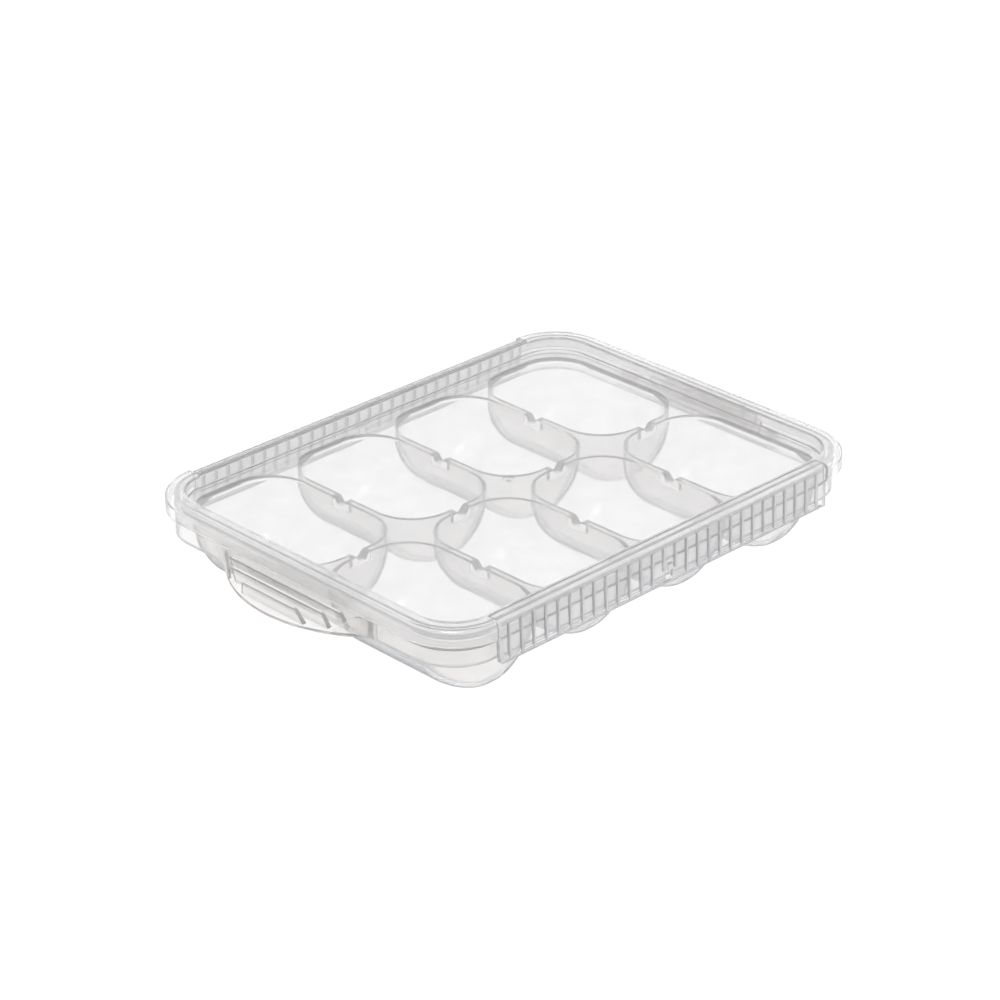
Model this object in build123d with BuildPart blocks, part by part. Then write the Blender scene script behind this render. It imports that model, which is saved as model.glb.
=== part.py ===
from build123d import *
import math
import os

# Lidded eight-cell portion tray, moulded in translucent polypropylene.
# Frame: X along the long side, Y across, Z up; the front is -Y. The origin is on
# the ground, in the middle of the footprint; the four corner bowls stand on z = 0.

# ---------------------------------------------------------------- dimensions
# heights above the ground
z_rim = 33.6          # flat top of the lid rim
z_panel = 28.8        # top of the recessed lid panel
z_skirt = 27.3        # lower edge of the lid rim's outer skirt
z_deck = 25.2         # top of the tray deck and of the dividers
z_wall = 18.3         # lower edge of the tray's perimeter wall
z_flap = 17.3         # lower edge of the latch flaps

# lid
lid_l, lid_w = 210.0, 157.0
lid_r = 22.2          # outer corner radius, in plan
rim_w = 7.35          # flat width of the rim, outer edge to inner edge
t_lid = 1.2           # moulding thickness of the lid
rim_r = 1.9           # rounding of the rim's outer edge
rim_under_r = 1.0     # the same rounding in the hollow under the rim
rim_inner_edge_r = 0.55
panel_edge_r = 0.7    # rounding between the panel and the rim's inner wall
gate_r, gate_depth = 2.3, 0.4   # gate dimple in the middle of the panel
nib_r = 0.8           # sprue nib left standing in the dimple

# latch flaps and living hinges, one of each per long side
flap_half = 82.4      # half length along X
slit = 0.4            # slit between flap end and rim corner
web_w, web_t = 0.6, 0.35        # hinge web
y_rim_cut = lid_w / 2 - rim_w + t_lid   # the rim is cut away beyond this line
y_hinge = y_rim_cut + web_w     # where the web meets the flap
t_flap = 1.05
flap_y = 76.9         # outer face of the flap skirt at rim height
flare = 0.05          # outward lean of the skirt, mm per mm
flap_top_r = 1.7      # reach of the rounding between flap top and skirt
rib_n, rib_pitch = 28, 5.762
rib_w, rib_h, rib_taper = 1.4, 0.85, 22.0
rib_drop = 2.5        # rib tops lie this far below the rim top
rib_low, rib_low_middle = 0.55, 4.6     # rib feet above the flap's lower edge
end_rib_w, end_rib_len, end_rib_mid, end_rib_taper = 1.3, 9.4, 5.0, 8
corner_r = 1.3        # rounding of the two lower corners of a flap
bead_h = 1.0          # closing bead along the lower edge
win_w, win_h, win_low = 3.5, 3.2, 1.2   # window, and its sill above the lower edge
hook_w = 2.6

# tray
wall_l, wall_w = 203.4, 150.4
wall_r = 18.7
t_tray = 1.2
t_deck = 1.1
wall_top = z_rim - t_lid - 0.1
cell_px, cell_py = 48.4, 70.4   # cell pitch
cell_half_x, cell_half_y = 22.5, 33.4   # half size of a cell mouth
cell_r = 15.7
bowl_rise = 21.5      # height over which the bowl rounds in
bowl_in_x = 18.4      # how far it rounds in across X
bowl_in_y = 8.0       # how far it rounds in across Y
bowl_steps = 6
foot_r_share = 0.94   # corner radius of the foot, as a share of its half width
draft = 0.03
inner_up, inner_slim = 1.1, 1.2   # the four inner bowls are a little shallower and slimmer
t_bowl = 1.1
lip_h = 2.7           # height of the rounded lip round a cell mouth
lip_out, lip_in = 2.7, 0.6      # its width on the tray's outer sides, and on the dividers
lip_start = -0.3      # the lip's lowest section lies inside the mouth
lip_steps = 5
notch_top, notch_bot, notch_d = 5.8, 2.0, 2.5
notch_len = 8.0
notch_y0 = 34.7       # notches on the dividers along Y sit this far from the middle
saddle_d = 4.6        # depth of the pads under the notches
saddle_l, saddle_w = notch_top + 3.0, 4.0

# pull tabs on the two short sides
x_wall = wall_l / 2   # outer face of the tray's short wall
tab_half, tab_out = 36.8, 14.6
t_tab = 1.0
tab_top = z_wall + t_tab
tab_edge_r = 0.42
tab_rib_t, tab_rib_slim, tab_rib_r = 1.8, 0.3, 0.5
# grip ribs: foot and top distance from the wall, foot and top half length, height
tab_ribs = [
    (1.8, 5.2, 28.2, 27.8, 7.3),
    (6.0, 8.7, 23.4, 22.7, 6.6),
    (10.1, 12.2, 15.7, 13.0, 5.8),
]
# end fins in plan: distance from the wall, distance from the middle
fin_out = [(7.6, 26.4), (5.43, 30.0), (3.2, 33.3), (1.6, 35.6), (0.35, 37.8), (-0.6, 40.4)]
fin_in = [(-1.0, 39.6), (-0.9, 36.6), (0.6, 35.0), (2.4, 32.6), (4.5, 29.4), (6.7, 25.8)]
# their top edge: distance from the middle, height above the tab plate
fin_top = [(25.6, 0.5), (27.9, 2.4), (30.0, 4.3), (31.9, 6.1), (34.0, 6.6), (41.5, 6.6)]

cells = [((i - 1.5) * cell_px, (j - 0.5) * cell_py) for j in (0, 1) for i in range(4)]
# notch places, and whether the divider they cut runs along Y
notches = [(i * cell_px, side * notch_y0, True) for i in (-1, 0, 1) for side in (-1, 1)]
notches += [((i - 1.5) * cell_px, 0.0, False) for i in range(4)]


def inset_outline(length, width, radius, inset=0.0, mode=Mode.ADD):
    """Draw a rounded rectangle, moved inwards by inset, in the current sketch."""
    RectangleRounded(length - 2 * inset, width - 2 * inset, radius - inset, mode=mode)


# ------------------------------------------------------------- tray features
def bowl_skin(corner, grow, z_top, z_bot):
    """Solid bowl from mouth to foot, grown outwards by grow."""
    raised = 0.0 if corner else inner_up
    slimmed = 0.0 if corner else inner_slim
    straight = z_top - z_bot - bowl_rise
    rise = bowl_rise - raised
    mouth_share = (cell_r + grow) / (cell_half_x + grow)
    with BuildPart() as skin:
        # the mouth at k = -1, the end of the straight part at k = 0
        for k in range(-1, bowl_steps + 1):
            turn = math.pi / 2 * max(k, 0) / bowl_steps
            curl = 1 - math.cos(turn)
            down = 0 if k < 0 else straight + rise * math.sin(turn)
            side = (0 if k < 0 else draft * straight) + slimmed * math.sin(turn)
            half_x = cell_half_x + grow - side - bowl_in_x * curl
            half_y = cell_half_y + grow - side - bowl_in_y * curl
            radius = half_x * (mouth_share + (foot_r_share - mouth_share) * curl)
            with BuildSketch(Plane.XY.offset(z_top - down)):
                RectangleRounded(2 * half_x, 2 * half_y, radius)
        loft()
    return skin.part


def mouth_lip(x, y):
    """Cutter for the rounded lip of the cell at x, y."""
    with BuildPart() as lip:
        for k in range(lip_steps + 1):
            turn = math.pi / 2 * k / lip_steps
            wide = lip_start + (lip_out - lip_start) * (1 - math.cos(turn))
            narrow = lip_start + (lip_in - lip_start) * (1 - math.cos(turn))
            left = wide if x < -cell_px else narrow
            right = wide if x > cell_px else narrow
            front = wide if y < 0 else narrow
            back = wide if y > 0 else narrow
            z = z_deck - lip_h + (lip_h + 0.05) * math.sin(turn)
            with BuildSketch(Plane.XY.offset(z)):
                with Locations((x + (right - left) / 2, y + (back - front) / 2)):
                    RectangleRounded(
                        2 * cell_half_x + left + right,
                        2 * cell_half_y + front + back,
                        cell_r + (left + right + front + back) / 4,
                    )
        loft()
    return lip.part


def notch_wedge():
    """Wedge that cuts one pouring notch across a divider running along Y."""
    half_top = notch_top / 2 + 0.4
    with BuildPart() as wedge:
        with BuildSketch(Plane.YZ.offset(-notch_len / 2)):
            with BuildLine():
                Polyline(
                    (-half_top, z_deck + 0.3),
                    (-notch_bot / 2, z_deck - notch_d),
                    (notch_bot / 2, z_deck - notch_d),
                    (half_top, z_deck + 0.3),
                    close=True,
                )
            make_face()
        extrude(amount=notch_len)
    return wedge.part


def tab_plate():
    """Half-moon plate of the +X pull tab, let into half the wall thickness."""
    tab_r = (tab_half**2 + tab_out**2) / (2 * tab_out)
    cut_l, cut_w = 120, 140
    with BuildPart() as plate:
        with BuildSketch(Plane.XY.offset(z_wall)):
            with Locations((x_wall - (tab_r - tab_out), 0)):
                Circle(tab_r)
            with Locations((x_wall - t_tray / 2 - cut_l / 2, 0)):
                Rectangle(cut_l, cut_w, mode=Mode.SUBTRACT)
        extrude(amount=t_tab)
        fillet(plate.edges().filter_by(GeomType.CIRCLE), radius=tab_edge_r)
    return plate.part


def tab_rib(foot_x, top_x, foot_half, top_half, height):
    """Leaning grip rib on the +X pull tab."""
    with BuildPart() as rib:
        with BuildSketch(Plane.XY.offset(z_wall + t_tab / 2)):
            with Locations((x_wall + foot_x, 0)):
                Rectangle(tab_rib_t, 2 * foot_half)
        with BuildSketch(Plane.XY.offset(tab_top + height)):
            with Locations((x_wall + top_x, 0)):
                Rectangle(tab_rib_t - tab_rib_slim, 2 * top_half)
        loft(ruled=True)
        fillet(rib.edges().group_by(Axis.Z)[-1], radius=tab_rib_r)
    return rib.part


def tab_fin(side):
    """Curved fin at the end of the +X pull tab, on the side of Y given."""
    out_edge = [(x_wall + x, side * y) for x, y in fin_out]
    in_edge = [(x_wall + x, side * y) for x, y in fin_in]
    top_edge = [(side * y, tab_top + z) for y, z in fin_top]
    z_foot = z_wall + 0.2
    with BuildPart() as fin:
        with BuildSketch(Plane.XY.offset(z_wall + 0.3)):
            with BuildLine():
                Spline(*out_edge)
                Line(out_edge[-1], in_edge[0])
                Spline(*in_edge)
                Line(in_edge[-1], out_edge[0])
            make_face()
        extrude(amount=10)
        # trim to the side view
        with BuildSketch(Plane.YZ.offset(x_wall - 2)):
            with BuildLine():
                Spline(*top_edge)
                Polyline(
                    top_edge[-1],
                    (top_edge[-1][0], z_foot),
                    (top_edge[0][0], z_foot),
                    top_edge[0],
                )
            make_face()
        extrude(amount=tab_out + 4, mode=Mode.INTERSECT)
    return fin.part


# ------------------------------------------------------------------ cell tray
def cell_tray():
    outer = {corner: bowl_skin(corner, t_bowl, z_deck - 0.4, 0.0) for corner in (True, False)}
    inner = {corner: bowl_skin(corner, 0.0, z_deck + 0.02, t_bowl) for corner in (True, False)}
    lips = [mouth_lip(x, y) for x, y in cells]
    wedge = notch_wedge()
    wedge_turned = wedge.rotate(Axis.Z, 90)
    tab_parts = [tab_plate()]
    tab_parts += [tab_rib(*row) for row in tab_ribs]
    tab_parts += [tab_fin(side) for side in (-1, 1)]

    with BuildPart() as tray:
        # perimeter wall
        with BuildSketch(Plane.XY.offset(z_wall)):
            inset_outline(wall_l, wall_w, wall_r)
            inset_outline(wall_l, wall_w, wall_r, t_tray, Mode.SUBTRACT)
        extrude(amount=wall_top - z_wall)
        # deck that carries the cells
        with BuildSketch(Plane.XY.offset(z_deck - t_deck)):
            inset_outline(wall_l, wall_w, wall_r, 0.5)
        extrude(amount=t_deck)
        # pads under the dividers, so that a notch stays closed below
        for x, y, along_y in notches:
            with BuildSketch(Plane.XY.offset(z_deck - saddle_d)):
                with Locations((x, y)):
                    if along_y:
                        Rectangle(saddle_w, saddle_l)
                    else:
                        Rectangle(saddle_l, saddle_w)
            extrude(amount=saddle_d - 0.3)
        for x, y in cells:
            add(outer[abs(x) > cell_px].moved(Location((x, y, 0))))
        for angle in (180, 0):
            for piece in tab_parts:
                add(piece.rotate(Axis.Z, angle))
        for x, y in cells:
            add(inner[abs(x) > cell_px].moved(Location((x, y, 0))), mode=Mode.SUBTRACT)
        for lip in lips:
            add(lip, mode=Mode.SUBTRACT)
        for x, y, along_y in notches:
            tool = wedge if along_y else wedge_turned
            add(tool.moved(Location((x, y, 0))), mode=Mode.SUBTRACT)
    return tray.part


# -------------------------------------------------------------------- the lid
z_below = z_skirt - 1   # cuts from underneath start here


def panel_recess():
    """Cutter for the recess above the panel."""
    with BuildPart() as recess:
        with BuildSketch(Plane.XY.offset(z_panel)):
            inset_outline(lid_l, lid_w, lid_r, rim_w)
        extrude(amount=10)
        fillet(recess.edges().group_by(Axis.Z)[0], radius=panel_edge_r)
    return recess.part


def rim_hollow():
    """Cutter for the hollow under the rim, open downwards."""
    with BuildPart() as hollow:
        with BuildSketch(Plane.XY.offset(z_below)):
            inset_outline(lid_l, lid_w, lid_r, t_lid)
        extrude(amount=z_rim - t_lid - z_below)
        fillet(hollow.edges().group_by(Axis.Z)[-1], radius=rim_under_r)
        with BuildSketch(Plane.XY.offset(z_below)):
            inset_outline(lid_l, lid_w, lid_r, rim_w - t_lid)
        extrude(amount=z_rim - z_below, mode=Mode.SUBTRACT)
    return hollow.part


def lid_shell():
    recess = panel_recess()
    hollow = rim_hollow()
    rim_inset = rim_w - t_lid   # outer face of the rim's inner wall
    cut_w = 20
    with BuildPart() as lid:
        with BuildSketch(Plane.XY.offset(z_skirt)):
            inset_outline(lid_l, lid_w, lid_r)
        extrude(amount=z_rim - z_skirt)
        fillet(lid.edges().group_by(Axis.Z)[-1], radius=rim_r)
        add(recess, mode=Mode.SUBTRACT)
        # the last test keeps out the arcs at the rim's outer corners
        inner_edge = [
            e
            for e in lid.edges().filter_by_position(Axis.Z, z_rim - 0.01, z_rim + 0.01)
            if abs(e.center().X) < lid_l / 2 - rim_w + 0.5
            and abs(e.center().Y) < lid_w / 2 - rim_w + 0.5
            and (abs(e.center().X) < 95 or abs(e.center().Y) < 1)
        ]
        fillet(inner_edge, radius=rim_inner_edge_r)
        add(hollow, mode=Mode.SUBTRACT)
        # clear space under the panel
        with BuildSketch(Plane.XY.offset(z_below)):
            RectangleRounded(
                lid_l - 2 * rim_inset + 1,
                lid_w - 2 * rim_inset + 1,
                lid_r - rim_inset,
            )
        extrude(amount=z_panel - t_lid - z_below, mode=Mode.SUBTRACT)
        # the rim is cut away where the latch flaps sit
        for side in (-1, 1):
            with BuildSketch(Plane.XY.offset(z_skirt - 2)):
                with Locations((0, side * (y_rim_cut + cut_w / 2))):
                    Rectangle(2 * (flap_half + slit), cut_w)
            extrude(amount=20, mode=Mode.SUBTRACT)
        # gate dimple with its sprue nib
        with BuildSketch(Plane.XY.offset(z_panel - gate_depth)):
            Circle(gate_r)
            Circle(nib_r, mode=Mode.SUBTRACT)
        extrude(amount=1, mode=Mode.SUBTRACT)
    return lid.part


# ----------------------------------------------- living hinges and latch flaps
def living_hinge():
    """Hinge web of the front side."""
    with BuildPart() as hinge:
        with BuildSketch(Plane.XY.offset(z_rim - web_t)):
            with Locations((0, -(y_hinge - web_w / 2))):
                Rectangle(2 * flap_half, web_w)
        extrude(amount=web_t)
    return hinge.part


def skirt_y(z):
    """Distance of the flap skirt's outer face from the middle, at height z."""
    return flap_y + flare * (z_rim - z)


def latch_flap():
    """Latch flap of the front side."""
    foot_y = skirt_y(z_flap)
    bead_y = foot_y + rib_h
    lip_y = wall_w / 2 + 0.2        # inner face of the lower edge, just off the tray wall
    z_under = z_rim - t_flap
    round_start = (-(flap_y - flap_top_r), z_rim)
    round_end = (-skirt_y(z_rim - flap_top_r), z_rim - flap_top_r)
    rib_top = z_rim - rib_drop - z_flap
    over = 1.0                      # overrun of the corner cuts
    # outer face of the skirt, with its origin at the lower edge
    face = Plane(origin=(0, -foot_y, z_flap), x_dir=(1, 0, 0), z_dir=(0, -1, flare))
    # plane behind the skirt, from which cuts run out through it
    behind = Plane.XZ.offset(flap_y - 3)
    with BuildPart() as flap:
        with BuildSketch(Plane.YZ.offset(-flap_half)):
            with BuildLine():
                Polyline((-y_hinge, z_under), (-y_hinge, z_rim), round_start)
                ThreePointArc(round_start, (-(flap_y - 0.5), z_rim - 0.5), round_end)
                Polyline(
                    round_end,
                    (-skirt_y(z_flap + bead_h), z_flap + bead_h),
                    (-bead_y, z_flap + bead_h - 0.3),
                    (-bead_y, z_flap + 0.25),
                    (-foot_y - rib_h * 0.6, z_flap),
                    (-(lip_y + 0.3), z_flap),
                    (-lip_y, z_flap + 0.35),
                    (-lip_y, z_wall - 0.25),
                    (-(skirt_y(z_wall + 0.5) - t_flap), z_wall + 0.5),
                    (-(skirt_y(z_under - 0.9) - t_flap), z_under - 0.9),
                    (-(skirt_y(z_under) - t_flap - 0.9), z_under),
                    (-y_hinge, z_under),
                )
            make_face()
        extrude(amount=2 * flap_half)
        # the inward lip of the lower edge is cut back at both ends
        with BuildSketch(Plane.XY.offset(z_flap - 1)):
            for side in (-1, 1):
                with Locations((side * (flap_half + 2), -(foot_y - t_flap - 3))):
                    Rectangle(9, 6)
        extrude(amount=3.6, mode=Mode.SUBTRACT)
        # upright ribs on the skirt, the middle pair stopping short over the window
        for i in range(rib_n):
            x = (i - (rib_n - 1) / 2) * rib_pitch
            low = rib_low_middle if i in (rib_n // 2 - 1, rib_n // 2) else rib_low
            with BuildSketch(face):
                with Locations((x, (low + rib_top) / 2 - rib_w / 4)):
                    Rectangle(rib_w, rib_top - low - rib_w / 2)
                with Locations((x, rib_top - rib_w / 2)):
                    Circle(rib_w / 2)
            extrude(amount=rib_h, taper=rib_taper)
        # closing ribs at the two ends of the skirt
        for side in (-1, 1):
            with BuildSketch(face):
                with Locations((side * (flap_half - end_rib_w / 2), end_rib_mid)):
                    Rectangle(end_rib_w, end_rib_len)
            extrude(amount=rib_h, taper=end_rib_taper)
        # the two lower corners are rounded
        for side in (-1, 1):
            cut_x = side * (flap_half - corner_r / 2 + over / 2)
            with BuildSketch(behind):
                with Locations((cut_x, z_flap + corner_r / 2 - over / 2)):
                    Rectangle(corner_r + over, corner_r + over)
                with Locations((side * (flap_half - corner_r), z_flap + corner_r)):
                    Circle(corner_r, mode=Mode.SUBTRACT)
            extrude(amount=8, mode=Mode.SUBTRACT)
        # window in the middle of the skirt and the small hook above it
        with BuildSketch(behind):
            with Locations((0, z_flap + win_low + win_h / 2)):
                Rectangle(win_w, win_h)
        extrude(amount=8, mode=Mode.SUBTRACT)
        with BuildSketch(Plane.YZ.offset(-hook_w / 2)):
            with BuildLine():
                Polyline(
                    (-skirt_y(z_flap + 5.2) + 0.4, z_flap + 4.6),
                    (-skirt_y(z_flap + 5.2) - 0.95, z_flap + 4.9),
                    (-skirt_y(z_flap + 6.4) - 0.8, z_flap + 6.9),
                    (-skirt_y(z_flap + 7.2) + 0.4, z_flap + 7.5),
                    close=True,
                )
            make_face()
        extrude(amount=hook_w)
    return flap.part


# -------------------------------------------------------------------- writing
front_hinge = living_hinge()
front_flap = latch_flap()
pieces = {
    "cell_tray": cell_tray(),
    "lid_shell": lid_shell(),
    "front_living_hinge": front_hinge,
    "rear_living_hinge": front_hinge.rotate(Axis.Z, 180),
    "front_latch_flap": front_flap,
    "rear_latch_flap": front_flap.rotate(Axis.Z, 180),
}
os.makedirs("parts", exist_ok=True)
for name, part in pieces.items():
    part.label = name
    export_step(part, f"parts/{name}.step")
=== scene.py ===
"""A clear polypropylene tray with a lid and two latch flaps on living hinges.

Metres, +Z up. The tray stands on the floor at z = 0, the lid's rim is at the top of the lid
shell, and the flaps hang along its two sides, facing -Y and +Y.
"""
import bmesh
import bpy
import math
from mathutils import Matrix, Vector


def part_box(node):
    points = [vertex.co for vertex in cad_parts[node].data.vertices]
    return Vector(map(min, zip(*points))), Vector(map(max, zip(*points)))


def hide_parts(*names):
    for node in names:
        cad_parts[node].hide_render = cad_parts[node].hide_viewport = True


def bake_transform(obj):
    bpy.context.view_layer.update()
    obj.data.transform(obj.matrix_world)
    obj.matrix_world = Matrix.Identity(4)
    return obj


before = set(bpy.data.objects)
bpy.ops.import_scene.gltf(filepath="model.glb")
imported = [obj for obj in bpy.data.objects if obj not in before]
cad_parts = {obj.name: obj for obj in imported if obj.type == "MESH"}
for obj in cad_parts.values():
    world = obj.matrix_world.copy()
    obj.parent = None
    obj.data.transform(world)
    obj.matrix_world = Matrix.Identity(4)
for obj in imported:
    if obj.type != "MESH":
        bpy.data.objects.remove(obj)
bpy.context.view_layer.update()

scene = bpy.context.scene
lid_lo, lid_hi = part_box("lid_shell")
tray_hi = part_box("cell_tray")[1]


# ---------------------------------------------------------------- node helpers
def new_material(name):
    material = bpy.data.materials.new(name)
    material.use_nodes = True
    material.node_tree.nodes.clear()
    return material, material.node_tree


def node(tree, kind, inputs=None, **settings):
    """Add a node; inputs maps a socket's name or number to a value or to a socket to link."""
    made = tree.nodes.new(kind)
    for name, value in settings.items():
        setattr(made, name, value)
    for key, value in (inputs or {}).items():
        if isinstance(value, bpy.types.NodeSocket):
            tree.links.new(value, made.inputs[key])
        else:
            made.inputs[key].default_value = value
    return made


def calc(tree, operation, *values):
    return node(tree, "ShaderNodeMath", dict(enumerate(values)), operation=operation).outputs[0]


def product(tree, masks):
    result = masks[0]
    for mask in masks[1:]:
        result = calc(tree, "MULTIPLY", result, mask)
    return result


def remap(tree, value, start, end, first=0.0, last=1.0, **settings):
    """Go from first to last while value goes from start to end, and hold outside."""
    inputs = {"Value": value, "From Min": start, "From Max": end, "To Min": first, "To Max": last}
    return node(tree, "ShaderNodeMapRange", inputs, **settings).outputs["Result"]


def mix_float(tree, factor, low, high):
    return node(tree, "ShaderNodeMix", {0: factor, 2: low, 3: high}, data_type="FLOAT").outputs[0]


def mix_color(tree, factor, low, high, **settings):
    inputs = {0: factor, 6: low, 7: high}
    return node(tree, "ShaderNodeMix", inputs, data_type="RGBA", **settings).outputs[2]


def mix_shader(tree, factor, low, high):
    return node(tree, "ShaderNodeMixShader", {0: factor, 1: low, 2: high}).outputs[0]


def split(tree, vector):
    return node(tree, "ShaderNodeSeparateXYZ", {0: vector}).outputs


def noise(tree, coords, scale, detail, roughness, stretch=(1, 1, 1)):
    mapped = node(tree, "ShaderNodeMapping", {"Vector": coords, "Scale": stretch}).outputs["Vector"]
    inputs = {"Vector": mapped, "Scale": scale, "Detail": detail, "Roughness": roughness}
    return node(tree, "ShaderNodeTexNoise", inputs).outputs["Fac"]


def rgba(color):
    return (*color, 1)


# ------------------------------------------------- masks for painted shade on parts of a moulding
def rib_shade_mask(tree, coords, rim_y, lean, rim_z):
    """Painted shade on the upright ribs standing proud of a skirt that leans outwards as it goes
    down.
    """
    x, y, z = split(tree, coords)
    skirt = calc(tree, "MULTIPLY_ADD", z, lean, -rim_y - lean * rim_z)
    proud = calc(tree, "ADD", calc(tree, "ABSOLUTE", y), skirt)
    return remap(tree, proud, 0.0001, 0.0007, 0.0, 0.85)


def hem_shade_mask(tree, coords, half_x, half_y, corner, bottom, height):
    """Painted shade line along the lower edge of the perimeter wall, a rounded rectangle in plan.
    """
    x, y, z = split(tree, coords)
    squares = []
    for across, half in ((x, half_x), (y, half_y)):
        past = calc(tree, "SUBTRACT", calc(tree, "ABSOLUTE", across), half - corner)
        past = calc(tree, "MAXIMUM", past, 0.0)
        squares.append(calc(tree, "MULTIPLY", past, past))
    radius = calc(tree, "SQRT", calc(tree, "ADD", *squares))
    top = bottom + height
    return product(tree, [
        remap(tree, radius, corner - 0.0022, corner - 0.0016),
        remap(tree, radius, corner + 0.0006, corner + 0.0010, 1.0, 0.0),
        remap(tree, z, bottom - 0.0003, bottom - 0.0001),
        remap(tree, z, top - 0.0002, top + 0.0002, 1.0, 0.0)])


def root_mask(tree, coords, spans, fade=0.0026):
    """Soft-edged boxes, mirrored about the axes; spans are low and high |x|, |y| and |z|."""
    masks = []
    for along, (low, high) in zip(split(tree, coords), spans):
        off = calc(tree, "ABSOLUTE", along)
        masks.append(remap(tree, off, low - fade, low + fade))
        masks.append(remap(tree, off, high - fade, high + fade, 1.0, 0.0))
    return product(tree, masks)


def paint_bowl_shade(tree, coords, facing, outline_shade, shade_grey, shade_haze, brim_z, haze, color, fade=0.002):
    """Paint darker shade on the outlines of the deep bowls, below brim_z, than on the lips above.
    """
    z = split(tree, coords)[2]
    brim = (brim_z - fade, brim_z + fade)
    bowl_shade_haze = remap(tree, z, *brim, haze, shade_haze)
    wide = remap(tree, facing, 0.60, 0.84, interpolation_type="SMOOTHSTEP")
    outline_shade = mix_float(tree, remap(tree, z, *brim, 1.0, 0.0), outline_shade, wide)
    bowl_shade_grey = mix_color(tree, remap(tree, z, *brim, 1.0, 0.0), rgba(shade_grey), rgba(color))
    return outline_shade, bowl_shade_haze, bowl_shade_grey


# ------------------------------------------------------------------- materials
def polypropylene(name, tints, absorb, density, haze, milk, shade_grey, shade_haze,
                  rough=(0.02, 0.06), wave=0.008, ribs=None, bowls=None, hem=None, roots=None):
    """Natural polypropylene: clear with a little milk in it, with painted grey shade on its
    outlines where light runs along the wall.

    tints: two colours the clear part drifts between; absorb, density: the volume's absorption
    haze, milk: share and colour of the milky part face-on; shade_haze, shade_grey: share and colour
    of the painted grey shade on outlines, edge-on
    rough: range of roughness; wave: strength of the surface ripple
    ribs, bowls, hem: measures of the parts that get their own painted shade; roots: where the
    painted outline shade is left off and the wall is milkier
    """
    material, tree = new_material(name)
    coords = node(tree, "ShaderNodeTexCoord").outputs["Object"]
    flow = noise(tree, coords, scale=22.0, detail=1.5, roughness=0.4, stretch=(1.0, 1.7, 1.7))
    cloud = noise(tree, coords, scale=110.0, detail=3.0, roughness=0.5)
    scuff = noise(tree, coords, scale=300.0, detail=5.0, roughness=0.6, stretch=(1.0, 5.0, 1.0))
    tint = mix_color(tree, remap(tree, flow, 0.35, 0.65), rgba(tints[0]), rgba(tints[1]))

    # painted shade: seen edge-on the wall is long for the light, so its outline is painted greyer
    facing = node(tree, "ShaderNodeLayerWeight", {"Blend": 0.5}).outputs["Facing"]
    outline_shade = remap(tree, facing, 0.62, 0.97, interpolation_type="SMOOTHSTEP")
    # the ribs are painted greyer too, as painted shade
    if ribs:
        outline_shade = calc(tree, "MAXIMUM", outline_shade, rib_shade_mask(tree, coords, **ribs))

    # clear part: scuffs add up to 0.05 to the cloudy roughness
    roughness = calc(tree, "MULTIPLY_ADD", remap(tree, scuff, 0.6, 0.78), 0.05,
                     remap(tree, cloud, 0.3, 0.7, *rough))
    bump = node(tree, "ShaderNodeBump", {"Strength": wave, "Distance": 0.0006, "Height": flow})
    glassy = node(tree, "ShaderNodeBsdfPrincipled", {
        "IOR": 1.49,
        "Transmission Weight": 1.0,
        "Base Color": tint,
        "Roughness": roughness,
        "Normal": bump.outputs["Normal"]})

    # the bowls get a darker painted shade on their outlines
    if bowls:
        outline_shade, shade_haze, bowl_shade_grey = paint_bowl_shade(
            tree, coords, facing, outline_shade, shade_grey, shade_haze, **bowls)
    # painted shade line along the lower edge of the wall
    if hem:
        outline_shade = calc(tree, "MAXIMUM", outline_shade, hem_shade_mask(tree, coords, **hem))
    base = remap(tree, cloud, 0.3, 0.7, haze * 0.85, haze * 1.15)
    if roots:
        # the moulding is solid here, so it is milky and the painted outline shade is left off
        root = root_mask(tree, coords, roots)
        outline_shade = calc(tree, "MULTIPLY", outline_shade, calc(tree, "SUBTRACT", 1.0, root))
        base = calc(tree, "MULTIPLY_ADD", root, 0.28, base)

    # milky part: light scattered through the wall and off it, with the painted grey shade mixed
    # into its colour on the outlines
    hue = mix_color(tree, outline_shade, rgba(milk), rgba(shade_grey))
    if bowls:
        tree.links.new(bowl_shade_grey, hue.node.inputs[7])
    back_lit = node(tree, "ShaderNodeBsdfTranslucent", {"Color": hue}).outputs[0]
    chalk = node(tree, "ShaderNodeBsdfDiffuse", {"Color": hue}).outputs[0]
    milky = mix_shader(tree, 0.6, back_lit, chalk)

    # the painted shade outlines also take the larger milky share
    amount = mix_float(tree, outline_shade, base, shade_haze)
    surface = mix_shader(tree, amount, glassy.outputs[0], milky)
    volume = node(tree, "ShaderNodeVolumeAbsorption", {"Color": rgba(absorb), "Density": density})
    node(tree, "ShaderNodeOutputMaterial", {"Surface": surface, "Volume": volume.outputs[0]})
    return material


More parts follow.
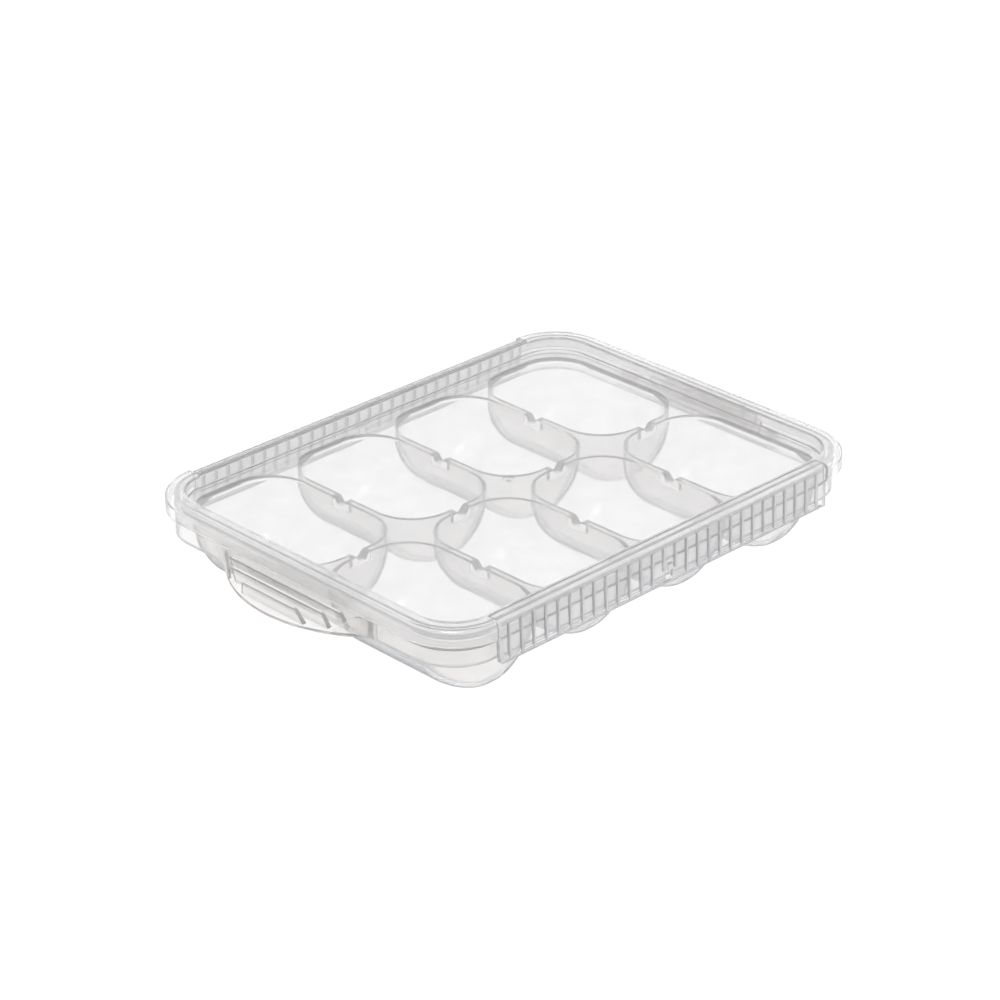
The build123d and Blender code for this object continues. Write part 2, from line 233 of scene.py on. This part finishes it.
# in the calls below, the edge-on grey and its haze are painted shade on the outlines
lid_pp = polypropylene(
    "lid_polypropylene",
    tints=((1.0, 1.0, 1.0), (0.995, 0.996, 0.998)),
    absorb=(0.80, 0.81, 0.845), density=15.0,
    haze=0.11, milk=(0.985, 0.988, 0.995),
    shade_grey=(0.87, 0.878, 0.893), shade_haze=0.46)
flap_pp = polypropylene(
    "flap_polypropylene",
    tints=((0.998, 0.999, 1.0), (0.99, 0.992, 0.997)),
    absorb=(0.77, 0.79, 0.84), density=20.0,
    haze=0.12, milk=(0.985, 0.987, 0.993),
    shade_grey=(0.73, 0.738, 0.765), shade_haze=0.55,
    # ribs get the painted grey shade
    ribs=dict(rim_y=lid_hi.y - 0.0016, lean=0.05, rim_z=lid_hi.z))
tray_pp = polypropylene(
    "tray_polypropylene",
    tints=((1.0, 0.996, 0.994), (0.997, 0.991, 0.989)),
    absorb=(0.82, 0.80, 0.80), density=14.0,
    haze=0.12, milk=(0.985, 0.957, 0.944),
    shade_grey=(0.78, 0.79, 0.82), shade_haze=0.56,
    # the bowls' outlines get a darker painted shade grey (color) with its haze
    bowls=dict(brim_z=0.0165, haze=0.85, color=(0.50, 0.515, 0.555)),
    # painted shade line at the wall's lower edge
    hem=dict(half_x=tray_hi.x - 0.0146, half_y=tray_hi.y, corner=0.0187,
             bottom=0.0183, height=0.0006),
    # where the end fins run into the wall; the painted outline shade is left off there and the wall
    # is milkier
    roots=((tray_hi.x - 0.0158, tray_hi.x - 0.0085), (0.0335, 0.0412), (0.010, 0.0262)))
web_pp = polypropylene(
    "hinge_polypropylene",
    tints=((0.99, 0.995, 1.0), (0.98, 0.985, 0.99)),
    absorb=(0.80, 0.82, 0.86), density=40.0,
    haze=0.30, milk=(0.95, 0.955, 0.965),
    shade_grey=(0.72, 0.73, 0.76), shade_haze=0.4,
    rough=(0.08, 0.15), wave=0.02)

for piece, material in (("cell_tray", tray_pp), ("lid_shell", lid_pp),
                        ("front_latch_flap", flap_pp), ("rear_latch_flap", flap_pp)):
    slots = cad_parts[piece].data.materials
    slots.clear()
    slots.append(material)


# ----------------------------------------------------------- living hinge webs
def add_object(name, bm):
    """Turn bm into a mesh object in the scene."""
    mesh = bpy.data.meshes.new(name)
    bm.to_mesh(mesh)
    bm.free()
    made = bpy.data.objects.new(name, mesh)
    scene.collection.objects.link(made)
    return made


def hinge_web(name, cad_node, steps=10, along=120):
    """A thin web with a coined groove on its underside."""
    lo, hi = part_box(cad_node)
    y_lid, y_flap = (hi.y, lo.y) if lo.y < 0 else (lo.y, hi.y)
    top, thickness = hi.z, hi.z - lo.z
    groove_depth = 0.45 * thickness
    xs = [lo.x + (hi.x - lo.x) * k / along for k in range(along + 1)]

    bm = bmesh.new()
    rows = []
    for i in range(steps + 1):
        share = i / steps
        y = y_lid + (y_flap - y_lid) * share
        bottom = top - thickness + groove_depth * math.sin(math.pi * share) ** 2
        rows.append([[bm.verts.new((x, y, z)) for x in xs] for z in (top, bottom)])
    for (up0, down0), (up1, down1) in zip(rows, rows[1:]):
        for k in range(along):
            bm.faces.new((up0[k], up0[k + 1], up1[k + 1], up1[k]))
            bm.faces.new((down0[k + 1], down0[k], down1[k], down1[k + 1]))
        bm.faces.new((down0[0], up0[0], up1[0], down1[0]))
        bm.faces.new((up0[-1], down0[-1], down1[-1], up1[-1]))
    for up_row, down_row in (rows[0], rows[-1]):
        for k in range(along):
            bm.faces.new((up_row[k], up_row[k + 1], down_row[k + 1], down_row[k]))
    bmesh.ops.recalc_face_normals(bm, faces=bm.faces)

    web = add_object(name, bm)
    web.data.materials.append(web_pp)
    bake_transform(web)
    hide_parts(cad_node)


hinge_web("front_hinge_web", "front_living_hinge")
hinge_web("rear_hinge_web", "rear_living_hinge")


# ----------------------------------------------------------------------- floor
def glowing_floor():
    bm = bmesh.new()
    bmesh.ops.create_grid(bm, x_segments=8, y_segments=8, size=3.0)
    floor = add_object("floor", bm)
    floor.location = (0, 0, -0.0002)  # just clear of the tray's underside
    material, tree = new_material("pale_floor")
    glow = node(tree, "ShaderNodeEmission", {"Color": (1, 1, 1, 1), "Strength": 1.06})
    node(tree, "ShaderNodeOutputMaterial", {"Surface": glow.outputs[0]})
    floor.data.materials.append(material)


glowing_floor()


# ---------------------------------------------------------------------- camera
def long_lens_camera(azimuth, elevation, roll, distance, shift_right, shift_up):
    """Aim from the given angles past the lid's top; lengths are for a lid 200 mm long.

    Returns the direction from the product back to the camera.
    """
    millimetre = (lid_hi.x - lid_lo.x) / 0.2 / 1000.0
    turn = -azimuth
    back = Vector((math.sin(turn) * math.cos(elevation),
                   -math.cos(turn) * math.cos(elevation),
                   math.sin(elevation)))
    right = Vector((math.cos(turn), math.sin(turn), 0))
    up = back.cross(right)
    offset = (back * distance + right * shift_right + up * shift_up) * millimetre
    place = offset + Vector((0, 0, lid_hi.z))
    rolled_right = math.cos(roll) * right + math.sin(roll) * up
    rolled_up = -math.sin(roll) * right + math.cos(roll) * up

    lens = bpy.data.cameras.new("camera")
    lens.lens = 117.53
    lens.sensor_width = 36.0
    lens.clip_start = 0.01
    lens.clip_end = 20
    camera = bpy.data.objects.new("camera", lens)
    columns = (rolled_right, rolled_up, back, place)
    camera.matrix_world = Matrix((*zip(*columns), (0, 0, 0, 1)))
    scene.collection.objects.link(camera)
    scene.camera = camera
    return back


to_camera = long_lens_camera(
    azimuth=math.radians(45.278), elevation=math.radians(26.848), roll=math.radians(0.457),
    distance=1106.074, shift_right=-2.887, shift_up=-11.254)


# ----------------------------------------------------------------------- world
def studio_world():
    """A white studio sweep, dimmer on the camera's side."""
    world = bpy.data.worlds.new("studio")
    scene.world = world
    world.use_nodes = True
    tree = world.node_tree
    tree.nodes.clear()
    coords = node(tree, "ShaderNodeTexCoord").outputs["Generated"]

    # grey level by height, from the horizon (0) to overhead (1)
    sweep = node(tree, "ShaderNodeValToRGB", {0: split(tree, coords)[2]})
    stops = sweep.color_ramp.elements
    stops[0].color = (1.02, 1.02, 1.02, 1)
    stops[1].color = (1.0, 1.0, 1.0, 1)
    for height, grey in ((0.12, 1.0), (0.45, 0.98)):
        stops.new(height).color = (grey, grey, grey, 1)

    toward = node(tree, "ShaderNodeVectorMath", {0: coords, 1: (to_camera.x, to_camera.y, 0.15)},
                  operation="DOT_PRODUCT").outputs["Value"]
    dimming = remap(tree, toward, 0.35, 0.92, 1.05, 0.50)
    color = mix_color(tree, 1.0, sweep.outputs[0], dimming, blend_type="MULTIPLY")
    background = node(tree, "ShaderNodeBackground", {"Strength": 1.0, "Color": color})
    node(tree, "ShaderNodeOutputWorld", {"Surface": background.outputs[0]})


studio_world()


# ---------------------------------------------------------------------- lights
def soft_box(name, where, size, power):
    """A square area light aimed at the origin."""
    light = bpy.data.lights.new(name, "AREA")
    light.shape = "RECTANGLE"
    light.size = light.size_y = size
    light.energy = power
    lamp = bpy.data.objects.new(name, light)
    lamp.location = where
    lamp.rotation_mode = "QUATERNION"
    lamp.rotation_quaternion = (-Vector(where)).to_track_quat("-Z", "Y")
    scene.collection.objects.link(lamp)


soft_box("top_softbox", where=(-0.5, -0.45, 1.3), size=0.6, power=9)
soft_box("side_softbox", where=(1.4, -0.6, 1.1), size=0.9, power=5)

# ---------------------------------------------------------------------- render
scene.view_settings.view_transform = "Standard"
scene.view_settings.look = "None"
cycles = scene.cycles
# light crosses many clear walls before it leaves the product
cycles.max_bounces = 32
cycles.transmission_bounces = 28
cycles.transparent_max_bounces = 16
cycles.glossy_bounces = 12
cycles.diffuse_bounces = 4
cycles.volume_bounces = 0
cycles.caustics_reflective = True
cycles.caustics_refractive = True
cycles.blur_glossy = 0.3
cycles.sample_clamp_indirect = 3.0
cycles.use_denoising = True
cycles.denoising_input_passes = "RGB_ALBEDO_NORMAL"
cycles.denoising_prefilter = "ACCURATE"
